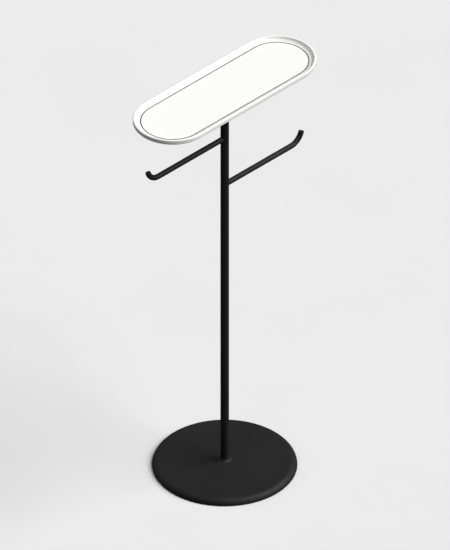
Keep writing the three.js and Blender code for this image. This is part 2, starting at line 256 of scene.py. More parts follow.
base_profile = filleted([
    (POCKET_RADIUS, PAD_SEAT, TINY_BREAK),
    (PAD_SEAT_RADIUS, PAD_SEAT, SMALL_BREAK),
    (PAD_SEAT_RADIUS, base_low.z, TINY_BREAK),
    (base_high.x, base_low.z, SMALL_BREAK),
    (base_high.x, BASE_TOP, EDGE_ROUND),
    (SOCKET_RADIUS + LIP, BASE_TOP, FLARE),
    (SOCKET_RADIUS + LIP, base_high.z, TINY_BREAK),
    (SOCKET_RADIUS, base_high.z, TINY_BREAK),
    (SOCKET_RADIUS, SOCKET_FLOOR, TINY_BREAK),
    (BOLT_HOLE, SOCKET_FLOOR, TINY_BREAK),
    (BOLT_HOLE, washer_high.z, TINY_BREAK),
    (POCKET_RADIUS, washer_high.z, SMALL_BREAK),
])
base = surface("base_casting", turned(base_profile, columns=192), base_profile)
base.data.materials.append(COAT)
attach(base, "root")
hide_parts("base")

# ----------------------------------------------------------------------------------------
# Non-slip ring. A ring of black rubber cut from 2 mm sheet with shallow rings moulded in
# its underside, stuck into the seat under the base. It alone touches the floor.


def moulded_rubber():
    """Matt rubber: soot black with a chalky bloom in patches, and moulded pips 1.4 mm apart."""
    material, tree, shader = finish_material("moulded_rubber")
    place = node(tree, "ShaderNodeTexCoord", {}).outputs["Object"]
    edge = node(tree, "ShaderNodeAttribute", {}, attribute_name="edge").outputs["Fac"]
    bloom = ranged(tree, noise(tree, place, 30, 5), 0.45, 0.75)
    scuffed = combined(tree, "MAXIMUM", bloom, ranged(tree, edge, 0.2, 1, 0, 0.6))
    colour = blended(tree, scuffed, (0.016, 0.016, 0.016, 1), (0.04, 0.039, 0.037, 1))
    tree.links.new(colour, shader.inputs["Base Color"])
    tree.links.new(ranged(tree, bloom, 0, 1, 0.8, 0.95), shader.inputs["Roughness"])
    pips = node(tree, "ShaderNodeTexVoronoi", {"Vector": place, "Scale": 700.0, "Randomness": 0.25})
    dome = ranged(tree, pips.outputs["Distance"], 0.15, 0.55, 1, 0)
    pores = raised_by(tree, noise(tree, place, 2600, 2), 0.00002)
    tree.links.new(raised_by(tree, dome, 0.00012, pores), shader.inputs["Normal"])
    shader.inputs["Specular IOR Level"].default_value = 0.25
    return material


RUBBER = moulded_rubber()
SAME_LEVEL = 1e-7
RING_COUNT = 7
RING_DEPTH = 0.00045
RING_SHARE = 0.3
ROWS_PER_RING = 24


def moulded_rings(profile, first, last):
    """The profile's underside with rings let into it: a wave of radius, flattened by a power,
    lifts each point between the first and last radius by up to the rings' depth."""
    radius = np.linspace(first, last, RING_COUNT * ROWS_PER_RING)
    wave = 0.5 - 0.5 * np.cos((radius - first) / (last - first) * 2 * np.pi * RING_COUNT)
    lift = RING_DEPTH * np.clip((wave - 1 + RING_SHARE) / RING_SHARE, 0, 1)
    underside = np.column_stack([radius, profile[:, 1].min() + lift, 0 * radius])
    low = profile[:, 1] <= profile[:, 1].min() + SAME_LEVEL
    inner = profile[low & (profile[:, 0] < first)]
    outer = profile[low & (profile[:, 0] > last)]
    return np.concatenate([inner, underside, outer, profile[~low]])


PAD_ROUND = 0.0004
PAD_HOLE = 0.013
RING_MARGIN = 0.006
ring_profile = filleted([
    (PAD_HOLE, pad_low.z, PAD_ROUND),
    (pad_high.x, pad_low.z, PAD_ROUND),
    (pad_high.x, pad_high.z, TINY_BREAK),
    (PAD_HOLE, pad_high.z, TINY_BREAK),
], steps=4)
first_low = np.argmax(ring_profile[:, 1] <= pad_low.z + SAME_LEVEL)
ring_profile = np.roll(ring_profile, -first_low, axis=0)
ring_profile = moulded_rings(ring_profile, PAD_HOLE + RING_MARGIN, pad_high.x - RING_MARGIN)
pad = surface("nonslip_ring", turned(ring_profile, columns=128), ring_profile)
pad.data.materials.append(RUBBER)
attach(pad, "root")
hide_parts("base_pad")

# ----------------------------------------------------------------------------------------
# Pole. 19 mm steel tube with a 1.5 mm wall, cut square, its ends deburred, and one clearance
# hole drilled through the wall behind each arm; powder coated with the base. It stands in
# the base's socket.


def with_rows(profile, longest, closed=True):
    """The profile with points added so that no step is longer than the length given: the
    radius, height and edge are carried linearly over the distance along it."""
    path = np.concatenate([profile, profile[:1]]) if closed else profile
    step = np.linalg.norm(np.diff(path[:, :2], axis=0), axis=1)
    along = np.concatenate([[0], np.cumsum(step)])
    added = np.arange(0, along[-1], longest)
    nearest = np.abs(added[:, None] - along[None]).min(1)
    places = np.sort(np.concatenate([along, added[nearest > SAME_PLACE]]))
    rows = np.column_stack([np.interp(places, along, column) for column in path.T])
    return rows[:-1] if closed else rows


def drilled(piece, *drills):
    """Takes each drill's shape out of the piece, and removes the drills."""
    for drill in drills:
        hole = piece.modifiers.new("drill", "BOOLEAN")
        hole.operation = "DIFFERENCE"
        hole.solver = "EXACT"
        hole.object = drill
    graph = bpy.context.evaluated_depsgraph_get()
    finished = bpy.data.meshes.new_from_object(
        piece.evaluated_get(graph), preserve_all_data_layers=True, depsgraph=graph
    )
    piece.modifiers.clear()
    piece.data = welded(finished)
    piece.data.set_sharp_from_angle(angle=np.radians(SHARP_ABOVE))
    for drill in drills:
        bpy.data.objects.remove(drill)
    return piece


def laid_along_x(grid, height, side):
    """A turned shape laid along X at a height: its own Z becomes X on the side given, and its
    X becomes Z, so it stays the right way out."""
    x, y, z = np.moveaxis(grid, -1, 0)
    return np.stack([side * z, -side * y, height + x], axis=-1)


def drill_bit(radius, start, end, columns=32):
    """A plain round cutter on the Z axis between two heights, as a profile and its grid."""
    profile = filleted([(0, start, 0), (radius, start, 0), (radius, end, 0), (0, end, 0)], False)
    return profile, turned(profile, columns)


pole_low, pole_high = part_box("pole_tube")
POLE_RADIUS = pole_high.x
POLE_BORE = 0.008
STUD_CLEARANCE = 0.0033
POLE_ROW = 0.012
DRILL_START = 0.002
OVERSHOOT = 0.002
ARM_SIDE = {"upper_arm": -1, "lower_arm": 1}


def middle(node_name):
    """The middle of a CAD node's box."""
    low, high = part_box(node_name)
    return (low + high) / 2


ARM_HEIGHT = {arm: middle(f"{arm}_stud").z for arm in ARM_SIDE}
pole_profile = with_rows(filleted([
    (POLE_BORE, pole_low.z, TINY_BREAK),
    (POLE_RADIUS, pole_low.z, SMALL_BREAK),
    (POLE_RADIUS, pole_high.z, SMALL_BREAK),
    (POLE_BORE, pole_high.z, TINY_BREAK),
], steps=5), POLE_ROW)
pole = surface("pole", turned(pole_profile, columns=96), pole_profile)
drills = []
for arm, side in ARM_SIDE.items():
    bit_profile, bit = drill_bit(STUD_CLEARANCE, DRILL_START, POLE_RADIUS + OVERSHOOT)
    bit = laid_along_x(bit, ARM_HEIGHT[arm], side)
    drills.append(surface(f"drill_{arm}", bit, bit_profile, False))
drilled(pole, *drills)
pole.data.materials.append(COAT)
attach(pole, "root")
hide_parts("pole_tube")

# ----------------------------------------------------------------------------------------
# Foot plug and head plug. Plain turned steel plugs fixed into the two ends of the pole
# and tapped down the middle: M8 at the foot for the base bolt, M6 at the head for the tray.


def turned_steel():
    """Bare steel from the lathe: fine rings along the profile in relief and in brightness,
    and darker oily patches over them."""
    material, tree, shader = finish_material("turned_steel")
    place = node(tree, "ShaderNodeTexCoord", {}).outputs["Object"]
    along = node(tree, "ShaderNodeAttribute", {}, attribute_name="along").outputs["Fac"]
    edge = node(tree, "ShaderNodeAttribute", {}, attribute_name="edge").outputs["Fac"]
    rings = node(tree, "ShaderNodeTexNoise", {"W": along, "Scale": 6000.0}, noise_dimensions="1D")
    rings = rings.outputs["Fac"]
    oil = ranged(tree, noise(tree, place, 140, 4), 0.4, 0.7)
    bright = blended(tree, ranged(tree, rings, 0.3, 0.7), (0.34, 0.34, 0.345, 1), (0.5, 0.5, 0.51, 1))
    dulled = blended(tree, combined(tree, "MULTIPLY", oil, 0.6), bright, (0.2, 0.185, 0.165, 1))
    shiny = blended(tree, ranged(tree, edge, 0.3, 1, 0, 0.5), dulled, (0.62, 0.62, 0.63, 1))
    tree.links.new(shiny, shader.inputs["Base Color"])
    tree.links.new(ranged(tree, oil, 0, 1, 0.38, 0.55), shader.inputs["Roughness"])
    tree.links.new(raised_by(tree, rings, 0.00001), shader.inputs["Normal"])
    shader.inputs["Metallic"].default_value = 1.0
    return material


STEEL = turned_steel()
M8 = {"radius": 0.004, "pitch": 0.00125, "depth": 0.00068}
M6 = {"radius": 0.003, "pitch": 0.001, "depth": 0.00054}
ROWS_PER_TURN = 8
TAPPING_GAP = 0.00015
PLUG_BREAK = 0.0005


def threaded(grid, thread, low, high, inward=True):
    """The grid with a screw thread between two heights, on the points at the thread's radius.

    The depth at a point is a triangle wave of height over pitch less the part of a turn that
    its angle makes, so the groove climbs one pitch in each turn anticlockwise. It runs out
    over one pitch at each end. A tapped hole's thread goes outward instead.
    """
    x, y, z = np.moveaxis(grid, -1, 0)
    radius, angle = np.hypot(x, y), np.arctan2(y, x)
    nominal = thread["radius"] + (0 if inward else TAPPING_GAP)
    turns = z / thread["pitch"] - angle / (2 * np.pi)
    groove = np.abs(2 * (turns % 1) - 1)
    run_out = np.clip(np.minimum(z - low, high - z) / thread["pitch"], 0, 1)
    reached = (np.abs(radius - nominal) < 1e-5) * groove * run_out * thread["depth"]
    scale = 1 + (-reached if inward else reached) / np.maximum(radius, 1e-9)
    return np.stack([x * scale, y * scale, z], axis=-1)


def tapped_plug(name, cad_node, thread):
    """A round plug in the pole's bore, with a tapped hole down its axis."""
    low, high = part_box(cad_node)
    profile = with_rows(filleted([
        (thread["radius"] + TAPPING_GAP, low.z, TINY_BREAK),
        (high.x, low.z, PLUG_BREAK),
        (high.x, high.z, PLUG_BREAK),
        (thread["radius"] + TAPPING_GAP, high.z, TINY_BREAK),
    ], steps=3), thread["pitch"] / ROWS_PER_TURN)
    grid = threaded(turned(profile, columns=48), thread, low.z, high.z, inward=False)
    return surface(name, grid, profile, sharp_above=70)


PLUGS = (("foot_plug", "pole_foot_plug", M8), ("head_plug", "pole_head_plug", M6))
for name, cad_node, thread in PLUGS:
    plug = tapped_plug(name, cad_node, thread)
    plug.data.materials.append(STEEL)
    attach(plug, "root")
    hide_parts(cad_node)

# ----------------------------------------------------------------------------------------
# Base bolt and its washers. A zinc-plated M8 hexagon bolt goes up through a flat washer, a
# split spring washer and the base into the foot plug, and pulls the pole down into its
# socket. All three lie in the pocket, clear of the floor.


def zinc_plate():
    """Bright zinc: a silver-blue plate that turns straw-coloured in patches, dull in the
    crystals 1 mm across, and polished on outside edges."""
    material, tree, shader = finish_material("zinc_plate")
    place = node(tree, "ShaderNodeTexCoord", {}).outputs["Object"]
    edge = node(tree, "ShaderNodeAttribute", {}, attribute_name="edge").outputs["Fac"]
    along = node(tree, "ShaderNodeAttribute", {}, attribute_name="along").outputs["Fac"]
    straw = ranged(tree, noise(tree, place, 120, 3), 0.4, 0.75, 0, 0.5)
    plate = blended(tree, straw, (0.6, 0.62, 0.66, 1), (0.56, 0.53, 0.42, 1))
    crystals = node(tree, "ShaderNodeTexVoronoi", {"Vector": place, "Scale": 900.0})
    spangle = ranged(tree, crystals.outputs["Distance"], 0.1, 0.7)
    toned = blended(tree, combined(tree, "MULTIPLY", spangle, 0.35), plate, (0.42, 0.43, 0.45, 1))
    bright = blended(tree, ranged(tree, edge, 0.2, 1, 0, 0.6), toned, (0.74, 0.75, 0.77, 1))
    tree.links.new(bright, shader.inputs["Base Color"])
    tree.links.new(ranged(tree, spangle, 0, 1, 0.3, 0.46), shader.inputs["Roughness"])
    marks = node(tree, "ShaderNodeTexNoise", {"W": along, "Scale": 5000.0}, noise_dimensions="1D")
    tree.links.new(raised_by(tree, marks.outputs["Fac"], 0.000006), shader.inputs["Normal"])
    shader.inputs["Metallic"].default_value = 1.0
    return material


ZINC = zinc_plate()


def flat_washer():
    """A plain ring punched from sheet, its edges just broken."""
    low, high = washer_low, washer_high
    bore = M8["radius"] + TAPPING_GAP
    profile = filleted([
        (bore, low.z, TINY_BREAK),
        (high.x, low.z, SMALL_BREAK),
        (high.x, high.z, TINY_BREAK),
        (bore, high.z, SMALL_BREAK),
    ], steps=4)
    return surface("flat_washer", turned(profile, columns=72), profile)


SLIT_HALF_ANGLE = np.radians(6.5)
SLIT_SLANT = np.radians(16)
WASHER_STATIONS = 73


def spring_washer():
    """A square-section ring, split on one side.

    Each point of the section goes from the slit's one side round to the other. The slit
    leans, so the angles where a point starts and ends grow with its height in the section.
    The section shrinks to its middle at both ends, which closes them with flat faces.
    """
    low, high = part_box("base_spring_washer")
    bore = M8["radius"] + TAPPING_GAP
    section = filleted([
        (bore, low.z, SMALL_BREAK),
        (high.x, low.z, SMALL_BREAK),
        (high.x, high.z, SMALL_BREAK),
        (bore, high.z, SMALL_BREAK),
    ], steps=3)
    lean = ((section[:, 1] - low.z) / (high.z - low.z) - 0.5) * SLIT_SLANT
    start = np.pi / 2 + SLIT_HALF_ANGLE + lean
    end = 5 * np.pi / 2 - SLIT_HALF_ANGLE + lean
    share = np.linspace(0, 1, WASHER_STATIONS)[:, None]
    angle = start * (1 - share) + end * share
    radius, height = section[:, 0], section[:, 1]
    loops = np.stack([radius * np.cos(angle), radius * np.sin(angle), height + 0 * angle], -1)
    middles = loops[[0, -1]].mean(1, keepdims=True) + 0 * loops[[0, -1]]
    grid = np.concatenate([middles[:1], loops, middles[1:]])[::-1]
    travelled = np.concatenate([[0], share[:, 0], [1]]) * 2 * np.pi * bore
    fields = np.column_stack([travelled, 0 * travelled, 0 * travelled])
    return surface("spring_washer", grid, fields, closed=False)


HEAD_FLATS = 0.013
HEAD_CHAMFER = np.radians(30)
FACE_SHARE = 0.47
PLAIN_SHANK = 0.006


def hexagon(angle, across_flats):
    """Distance from the axis to a hexagon's side at an angle: half its flats over the cosine of
    the angle from the middle of that side."""
    from_middle = (angle % (np.pi / 3)) - np.pi / 6
    return across_flats / 2 / np.cos(from_middle)


def hexagon_bolt():
    """The turned blank, corners chamfered and shank threaded, then cut back to six flats."""
    low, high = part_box("base_bolt")
    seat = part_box("base_spring_washer")[0].z
    corner, face = HEAD_FLATS / np.sqrt(3), FACE_SHARE * HEAD_FLATS
    shank = M8["radius"]
    profile = with_rows(filleted([
        (0, low.z, 0),
        (face, low.z, TINY_BREAK),
        (corner, low.z + (corner - face) * np.tan(HEAD_CHAMFER), 0),
        (corner, seat, TINY_BREAK),
        (shank, seat, 0),
        (shank, high.z - PLUG_BREAK, 0),
        (shank - PLUG_BREAK, high.z, 0),
        (0, high.z, 0),
    ], closed=False, steps=3), M8["pitch"] / ROWS_PER_TURN, closed=False)
    grid = threaded(turned(profile, columns=72), M8, seat + PLAIN_SHANK, high.z - PLUG_BREAK)
    x, y, z = np.moveaxis(grid, -1, 0)
    radius = np.hypot(x, y)
    scale = np.minimum(1, hexagon(np.arctan2(y, x), HEAD_FLATS) / np.maximum(radius, 1e-9))
    return surface("base_bolt_m8", np.stack([x * scale, y * scale, z], -1), profile, False, 50)


hardware = {
    "base_washer": flat_washer(),
    "base_spring_washer": spring_washer(),
    "base_bolt": hexagon_bolt(),
}
for cad_node, piece in hardware.items():
    piece.data.materials.append(ZINC)
    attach(piece, "root")
    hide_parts(cad_node)

# ----------------------------------------------------------------------------------------
# Arm slugs. Solid steel slugs set inside the pole behind each arm and tapped M6 across,
# so that an arm's stud has more to bite on than the tube's thin wall.

SLUG_ROW = 0.002


def arm_slug(arm):
    """A chamfered round bar with a hole drilled across it."""
    low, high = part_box(f"{arm}_slug")
    profile = with_rows(filleted([
        (0, low.z, 0),
        (high.x, low.z, PLUG_BREAK),
        (high.x, high.z, PLUG_BREAK),
        (0, high.z, 0),
    ], closed=False, steps=3), SLUG_ROW, closed=False)
    slug = surface(f"{arm}_slug_m6", turned(profile, columns=64), profile, False)
    reach = 2 * POLE_RADIUS
    bit_profile, bit = drill_bit(M6["radius"] + TAPPING_GAP, -reach, reach)
    cutter = laid_along_x(bit, ARM_HEIGHT[arm], 1)
    return drilled(slug, surface("tap_drill", cutter, bit_profile, False))


for arm in ARM_SIDE:
    slug = arm_slug(arm)
    slug.data.materials.append(STEEL)
    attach(slug, "root")
    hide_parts(f"{arm}_slug")

# ----------------------------------------------------------------------------------------
# Arms. 12.7 mm steel tube, straight, then bent up through 75 degrees; the inner end is coped
# to sit on the round pole and the outer end is cut square. Powder coated with the pole.

ARM_RADIUS = 0.00635
ARM_BORE = 0.00485
BEND_RADIUS = 0.0334
BEND_ANGLE = np.radians(75)
ARM_STRAIGHT = 0.206
ARM_END = ARM_STRAIGHT + BEND_RADIUS * BEND_ANGLE
COPE_GAP = 0.0001
COPE_FADE = 0.012
TUBE_ROW = 0.0022


def along_arm(grid, arm):
    """A shape turned about Z carried along an arm, its Z becoming distance from the pole's axis.

    The centreline runs straight, then on an arc: past the straight length, the angle is the
    distance left over divided by the bend's radius. The point moves R sin(angle) out and
    R (1 - cos(angle)) up, and the shape's own X follows the arc's inward normal.
    """
    x, y, distance = np.moveaxis(grid, -1, 0)
    angle = np.clip((distance - ARM_STRAIGHT) / BEND_RADIUS, 0, BEND_ANGLE)
    beyond = distance - ARM_STRAIGHT - BEND_RADIUS * angle
    straight = ARM_STRAIGHT + beyond * np.cos(angle)
    out = straight + (BEND_RADIUS - x) * np.sin(angle)
    up = BEND_RADIUS - (BEND_RADIUS - x) * np.cos(angle) + beyond * np.sin(angle)
    side = ARM_SIDE[arm]
    return np.stack([side * out, -side * y, ARM_HEIGHT[arm] + up], axis=-1)


def arm_tube(arm):
    """The tube's wall, its inner end drawn back to the pole's round: a point at a distance y
    beside the arm's middle plane meets the pole where x squared is R squared less y squared."""
    seat = POLE_RADIUS + COPE_GAP
    profile = with_rows(filleted([
        (ARM_BORE, seat, 0),
        (ARM_RADIUS, seat, 0),
        (ARM_RADIUS, ARM_END, SMALL_BREAK),
        (ARM_BORE, ARM_END, TINY_BREAK),
    ], steps=5), TUBE_ROW)
    grid = turned(profile, columns=64)
    to_pole = np.sqrt(seat**2 - grid[..., 1] ** 2) - seat
    fade = np.clip(1 - (grid[..., 2] - seat) / COPE_FADE, 0, 1)
    grid[..., 2] += to_pole * fade
    return surface(f"{arm}_bent_tube", along_arm(grid, arm), profile)


for arm in ARM_SIDE:
    tube = arm_tube(arm)
    tube.data.materials.append(COAT)
    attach(tube, "root")
    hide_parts(f"{arm}_tube")

# ----------------------------------------------------------------------------------------
# Arm fixings. Each arm has a tapped steel plug fixed into its inner end, and a zinc-plated
# M6 stud joins that plug to the slug in the pole.


def root_plug(arm):
    """A round plug in the arm's bore, with a tapped hole down its axis."""
    low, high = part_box(f"{arm}_root_plug")
    start, end = sorted((abs(low.x), abs(high.x)))
    profile = with_rows(filleted([
        (M6["radius"] + TAPPING_GAP, start, TINY_BREAK),
        (high.z - ARM_HEIGHT[arm], start, SMALL_BREAK),
        (high.z - ARM_HEIGHT[arm], end, SMALL_BREAK),
        (M6["radius"] + TAPPING_GAP, end, TINY_BREAK),
    ], steps=3), M6["pitch"] / ROWS_PER_TURN)
    grid = threaded(turned(profile, columns=48), M6, start, end, inward=False)
    grid = laid_along_x(grid, ARM_HEIGHT[arm], ARM_SIDE[arm])
    return surface(f"{arm}_plug_m6", grid, profile, sharp_above=70)


def arm_stud(arm):
    """A bar threaded from end to end, with a small chamfer at both ends."""
    low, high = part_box(f"{arm}_stud")
    start, end = sorted((ARM_SIDE[arm] * low.x, ARM_SIDE[arm] * high.x))
    radius = M6["radius"]
    profile = with_rows(filleted([
        (0, start, 0),
        (radius - PLUG_BREAK, start, 0),
        (radius, start + PLUG_BREAK, 0),
        (radius, end - PLUG_BREAK, 0),
        (radius - PLUG_BREAK, end, 0),
        (0, end, 0),
    ], closed=False, steps=2), M6["pitch"] / ROWS_PER_TURN, closed=False)
    grid = threaded(turned(profile, columns=36), M6, start + PLUG_BREAK, end - PLUG_BREAK)
    grid = laid_along_x(grid, ARM_HEIGHT[arm], ARM_SIDE[arm])
    return surface(f"{arm}_stud_m6", grid, profile, False, 70)


for arm in ARM_SIDE:
    plug = root_plug(arm)
    plug.data.materials.append(STEEL)
    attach(plug, "root")
    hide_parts(f"{arm}_root_plug")
    stud = arm_stud(arm)
    stud.data.materials.append(ZINC)
    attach(stud, "root")
    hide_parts(f"{arm}_stud")

# ----------------------------------------------------------------------------------------
# Tip caps. A small steel disc, faintly domed, is set flush in each arm's outer end and
# powder coated with it, so that the end looks solid but for a fine ring.

CAP_GAP = 0.0001
CAP_RADIUS = ARM_BORE - CAP_GAP
CAP_THICKNESS = 0.0015
CAP_DOME = 0.00025
CAP_ROW = 0.0004


def tip_cap(arm):
    """A disc on the arm's end, its face a paraboloid that falls off with the radius squared."""
    profile = with_rows(filleted([
        (0, ARM_END - CAP_THICKNESS, 0),
        (CAP_RADIUS, ARM_END - CAP_THICKNESS, TINY_BREAK),
        (CAP_RADIUS, ARM_END, SMALL_BREAK),
        (0, ARM_END, 0),
    ], closed=False, steps=4), CAP_ROW, closed=False)
    grid = turned(profile, columns=64)
    radius = np.hypot(grid[..., 0], grid[..., 1])
    face = grid[..., 2] > ARM_END - SMALL_BREAK
    grid[..., 2] += face * CAP_DOME * (1 - (radius / CAP_RADIUS) ** 2)
    return surface(f"{arm}_cap", along_arm(grid, arm), profile, False)


for arm in ARM_SIDE:
    cap = tip_cap(arm)
    cap.data.materials.append(COAT)
    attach(cap, "root")
    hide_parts(f"{arm}_tip_cap")

# ----------------------------------------------------------------------------------------
# Tray flange. A turned steel plate with a hub that drops over the pole's top, powder coated
# black. An M6 countersunk screw holds it to the head plug, and four tapped holes take the
# tray's screws.

flange_low, flange_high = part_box("tray_flange")
HUB_RADIUS = 0.0135
HUB_ROUND = 0.003
FLANGE_THICKNESS = 0.004
FLANGE_BREAK = 0.0006
M4 = {"radius": 0.002, "pitch": 0.0007, "depth": 0.00038}
FLANGE_SCREW_HEAD = 0.006
HEAD_GAP = 0.00015
M6_CLEARANCE = 0.0033
PLATE_LOW = flange_high.z - FLANGE_THICKNESS
SCREW_PLACES = {f"tray_screw_{i}": middle(f"tray_screw_{i}") for i in range(1, 5)}

flange_profile = filleted([
    (M6_CLEARANCE, PLATE_LOW, 0),
    (SOCKET_RADIUS, PLATE_LOW, 0),
    (SOCKET_RADIUS, flange_low.z, TINY_BREAK),
    (HUB_RADIUS, flange_low.z, FLANGE_BREAK),
    (HUB_RADIUS, PLATE_LOW, HUB_ROUND),
    (flange_high.x, PLATE_LOW, FLANGE_BREAK),
    (flange_high.x, flange_high.z, FLANGE_BREAK),
    (FLANGE_SCREW_HEAD + HEAD_GAP, flange_high.z, 0),
    (M6_CLEARANCE, flange_high.z - (FLANGE_SCREW_HEAD + HEAD_GAP - M6_CLEARANCE), 0),
])
flange = surface("tray_flange_plate", turned(flange_profile, columns=128), flange_profile)
drills = []
for screw, place in SCREW_PLACES.items():
    bit_profile, bit = drill_bit(
        M4["radius"] + TAPPING_GAP, PLATE_LOW - OVERSHOOT, flange_high.z + OVERSHOOT
    )
    drills.append(surface(f"drill_{screw}", bit + (place.x, place.y, 0), bit_profile, False))
drilled(flange, *drills)
flange.data.materials.append(COAT)
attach(flange, "root")
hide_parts("tray_flange")

# ----------------------------------------------------------------------------------------
# Tray. A round-ended pan routed from 12 mm fibreboard: rounded rim, a cove down to a sunk
# bed for the liner, and four countersunk holes; primed, sanded and lacquered satin white.
# The bed and its low wall are black as a painted shadow, so the gap round the liner reads dark.

pan_low, pan_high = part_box("tray_pan")
TRAY_HALF_WIDTH = pan_high.y
END_CENTRE = pan_high.x - TRAY_HALF_WIDTH
RIM_WIDTH = 0.006
RIM_ROUND = 0.002
UNDERSIDE_ROUND = 0.004
COVE_WIDTH = 0.010
COVE_TOP = pan_high.z - RIM_ROUND
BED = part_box("tray_liner")[0].z
BED_RADIUS = TRAY_HALF_WIDTH - RIM_WIDTH - COVE_WIDTH
LINER_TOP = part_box("tray_liner")[1].z
# The bed's black painted shadow reaches up to just under the liner's top, marked by an edge value.
SHADE_PAINT_DROP = 0.0001
SHADE_PAINT_TOP = LINER_TOP - SHADE_PAINT_DROP
PAINTED_SHADE_EDGE = -2.0


def outline_stations(per_end, per_side):
    """Centres and directions round a stadium: on each round end the centre stays and the
    direction turns half a circle; on each side the direction stays and the centre moves."""
    turn = np.linspace(-np.pi / 2, np.pi / 2, per_end, endpoint=False)
    slide = np.linspace(1, -1, per_side, endpoint=False)
    centre = np.concatenate([0 * turn + 1, slide, 0 * turn - 1, -slide]) * END_CENTRE
    quarter = np.pi / 2
    direction = np.concatenate([turn, 0 * slide + quarter, turn + np.pi, 0 * slide - quarter])
    return centre, direction


def round_ended(profile, per_end=72, per_side=36):
    """A profile carried round the tray's outline. A profile point's radius is its distance
    inside the outline's, and it goes out from the station's centre along its direction."""
    centre, direction = outline_stations(per_end, per_side)
    radius, height = profile[:, :1], profile[:, 1:2]
    across = radius * np.sin(direction)
    return np.stack([centre + radius * np.cos(direction), across, height + 0 * direction], -1)


def cove(steps=18):
    """Corners down the cove: a quarter ellipse that leaves the rim's foot straight down and
    comes level with the floor at its inner end."""
    angle = np.linspace(0, np.pi / 2, steps)
    radius = TRAY_HALF_WIDTH - RIM_WIDTH - COVE_WIDTH * (1 - np.cos(angle))
    height = COVE_TOP - (COVE_TOP - LINER_TOP) * np.sin(angle)
    return [(r, z, 0) for r, z in zip(radius[1:], height[1:])]


def white_lacquer():
    """Satin white lacquer on fibreboard: barely warmer and cooler in turn, faint orange peel,
    rubbed through to a greyer undercoat on the rim's edges, and darker in inside corners. It
    gives way to black, brushed in patches, as a painted shadow where the edge value falls to the
    painted-shade one."""
    material, tree, shader = finish_material("white_lacquer")
    place = node(tree, "ShaderNodeTexCoord", {}).outputs["Object"]
    edge = node(tree, "ShaderNodeAttribute", {}, attribute_name="edge").outputs["Fac"]
    drift = ranged(tree, noise(tree, place, 9, 3), 0.35, 0.65)
    body = blended(tree, drift, (0.885, 0.885, 0.88, 1), (0.91, 0.91, 0.9, 1))
    chafed = ranged(tree, noise(tree, place, 210, 4), 0.5, 0.78)
    rubbed = combined(tree, "MULTIPLY", ranged(tree, edge, 0.2, 1, 0, 0.5), chafed)
    worn = blended(tree, rubbed, body, (0.66, 0.65, 0.63, 1))
    # Inside corners are darkened, by an amount that varies in patches.
    corner_tint = combined(tree, "MULTIPLY", ranged(tree, edge, -0.1, -1, 0, 0.4), chafed)
    corner_darkened = blended(tree, corner_tint, worn, (0.55, 0.53, 0.5, 1))
    # Painted shadow: black where the edge value marks the sunk bed and its wall round the liner.
    painted_shade = ranged(tree, edge, 0.6 * PAINTED_SHADE_EDGE, 0.7 * PAINTED_SHADE_EDGE)
    painted_shade_colour = blended(tree, chafed, (0.012, 0.012, 0.012, 1), (0.03, 0.03, 0.03, 1))
    tree.links.new(blended(tree, painted_shade, corner_darkened, painted_shade_colour), shader.inputs["Base Color"])
    sheen = ranged(tree, noise(tree, place, 45, 4), 0.3, 0.7, 0.3, 0.4)
    matte = combined(tree, "MULTIPLY", combined(tree, "MAXIMUM", corner_tint, painted_shade), 0.4)
    tree.links.new(combined(tree, "ADD", sheen, matte), shader.inputs["Roughness"])
    peel = raised_by(tree, noise(tree, place, 420, 1), 0.000025)
    nibs = raised_by(tree, noise(tree, place, 2400, 1), 0.000006, peel)
    tree.links.new(nibs, shader.inputs["Normal"])
    return material


LACQUER = white_lacquer()
pan_profile = filleted([
    (0, pan_low.z, 0),
    (TRAY_HALF_WIDTH, pan_low.z, UNDERSIDE_ROUND),
    (TRAY_HALF_WIDTH, pan_high.z, RIM_ROUND),
    (TRAY_HALF_WIDTH - RIM_WIDTH, pan_high.z, RIM_ROUND),
    *cove(),
    (BED_RADIUS, SHADE_PAINT_TOP, 0),
    (BED_RADIUS, BED, TINY_BREAK),
    (0, BED, 0),
], closed=False)
pan_radius, pan_height = pan_profile[:, 0], pan_profile[:, 1]
# Rows in the sunk bed and its wall take the painted-shadow edge value, which turns them black.
below_mouth = (pan_radius < BED_RADIUS + SAME_PLACE) & (pan_height < SHADE_PAINT_TOP + SAME_PLACE)
painted_shade_rows = below_mouth & (pan_height > BED - SAME_PLACE)
pan_profile[painted_shade_rows, 2] = PAINTED_SHADE_EDGE
pan = surface("tray", round_ended(pan_profile), pan_profile, False)

TRAY_SCREW_HEAD = 0.0039
M4_CLEARANCE = 0.0022
MOUTH = TRAY_SCREW_HEAD + HEAD_GAP
PAST_FACE = 0.001
bit_profile = filleted([
    (0, pan_low.z - PAST_FACE, 0),
    (M4_CLEARANCE, pan_low.z - PAST_FACE, 0),
    (M4_CLEARANCE, BED - (MOUTH - M4_CLEARANCE), 0),
    (MOUTH + PAST_FACE, BED + PAST_FACE, 0),
    (0, BED + PAST_FACE, 0),
], closed=False)
drills = []
for screw, place in SCREW_PLACES.items():
    bit = turned(bit_profile, columns=40) + (place.x, place.y, 0)
    drills.append(surface(f"countersink_{screw}", bit, bit_profile, False))
drilled(pan, *drills)
pan.data.materials.append(LACQUER)
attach(pan, "root")
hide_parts("tray_pan")

# ----------------------------------------------------------------------------------------
# Flange screw and tray screws. Zinc-plated countersunk socket screws: one M6 down through
# the flange into the head plug, and four M4 down through the tray's floor into the flange.

FLANGE_SCREW_SOCKET = 0.004
TRAY_SCREW_SOCKET = 0.0025


